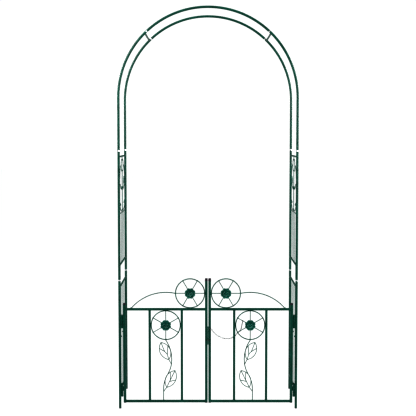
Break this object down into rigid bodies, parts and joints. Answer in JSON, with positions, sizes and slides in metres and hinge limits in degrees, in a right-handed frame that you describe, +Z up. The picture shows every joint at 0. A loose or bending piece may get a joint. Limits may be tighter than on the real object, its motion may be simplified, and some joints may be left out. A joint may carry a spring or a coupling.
{
  "type": "garden arch with gate",
  "caption": "Round-topped steel garden arch with trellis sides and a double gate of square tube with wire flowers, leafy stems and a chained locking pin.",
  "frame": {"origin": "on the ground at the middle of the overall bounding box", "axes": "+Z up, gate on the -Y side, the way through along Y, X across the opening"},
  "size_m": [1.08, 0.4624, 2.4179],
  "materials": {
    "powder_green": "satin dark green powder coat, bare zinc where a tube end is reduced to fit the next",
    "green_wire": "satin dark green powder coat on drawn wire",
    "green_stamping": "satin dark green powder coat on stamped sheet",
    "black_plastic": "matte charcoal moulded plastic",
    "zinc": "dull zinc plate"
  },
  "bodies": {
    "frame": {"front_left_lower_leg": "powder_green", "front_left_middle_leg": "powder_green", "front_left_arch_side": "powder_green", "front_right_lower_leg": "powder_green", "front_right_middle_leg": "powder_green", "front_right_arch_side": "powder_green", "front_arch_top": "powder_green", "back_left_lower_leg": "powder_green", "back_left_middle_leg": "powder_green", "back_left_arch_side": "powder_green", "back_right_lower_leg": "powder_green", "back_right_middle_leg": "powder_green", "back_right_arch_side": "powder_green", "back_arch_top": "powder_green", "leg_foot_plugs": "black_plastic", "arch_crossbars": "powder_green", "side_mid_rods": "green_wire", "frame_hinge_barrels": "powder_green", "hinge_pins": "zinc", "left_side_crossbars": "powder_green", "left_lower_side_wires": "green_wire", "left_upper_side_wires": "green_wire", "left_side_scrolls": "green_wire", "left_side_flowers": "green_stamping", "right_side_crossbars": "powder_green", "right_lower_side_wires": "green_wire", "right_upper_side_wires": "green_wire", "right_side_scrolls": "green_wire", "right_side_flowers": "green_stamping"},
    "left_gate": {"left_gate_hinge_stile": "powder_green", "left_gate_meeting_stile": "powder_green", "left_gate_top_rail": "powder_green", "left_gate_bottom_rail": "powder_green", "left_gate_bars": "powder_green", "left_gate_caps": "black_plastic", "left_gate_hinge_knuckles": "powder_green", "left_gate_upper_flower_ring": "green_wire", "left_gate_lower_flower_ring": "green_wire", "left_gate_flower_hubs": "green_stamping", "left_gate_arc_wire": "green_wire", "left_gate_flower_stem": "green_wire", "left_gate_stem_leaves": "green_wire", "left_gate_latch_plate": "powder_green"},
    "right_gate": {"right_gate_hinge_stile": "powder_green", "right_gate_meeting_stile": "powder_green", "right_gate_top_rail": "powder_green", "right_gate_bottom_rail": "powder_green", "right_gate_bars": "powder_green", "right_gate_caps": "black_plastic", "right_gate_hinge_knuckles": "powder_green", "right_gate_upper_flower_ring": "green_wire", "right_gate_lower_flower_ring": "green_wire", "right_gate_flower_hubs": "green_stamping", "right_gate_arc_wire": "green_wire", "right_gate_flower_stem": "green_wire", "right_gate_stem_leaves": "green_wire", "right_gate_latch_plate": "powder_green", "locking_pin": "zinc", "latch_chain": "zinc"}
  },
  "joints": [
    {"name": "left_gate_hinge", "type": "hinge", "parent": "frame", "child": "left_gate", "pos_m": [-0.5195, -0.21175, 0.3], "axis": [0, 0, 1], "range_deg": [-90, 85]},
    {"name": "right_gate_hinge", "type": "hinge", "parent": "frame", "child": "right_gate", "pos_m": [0.5195, -0.21175, 0.3], "axis": [0, 0, 1], "range_deg": [-85, 90]}
  ]
}
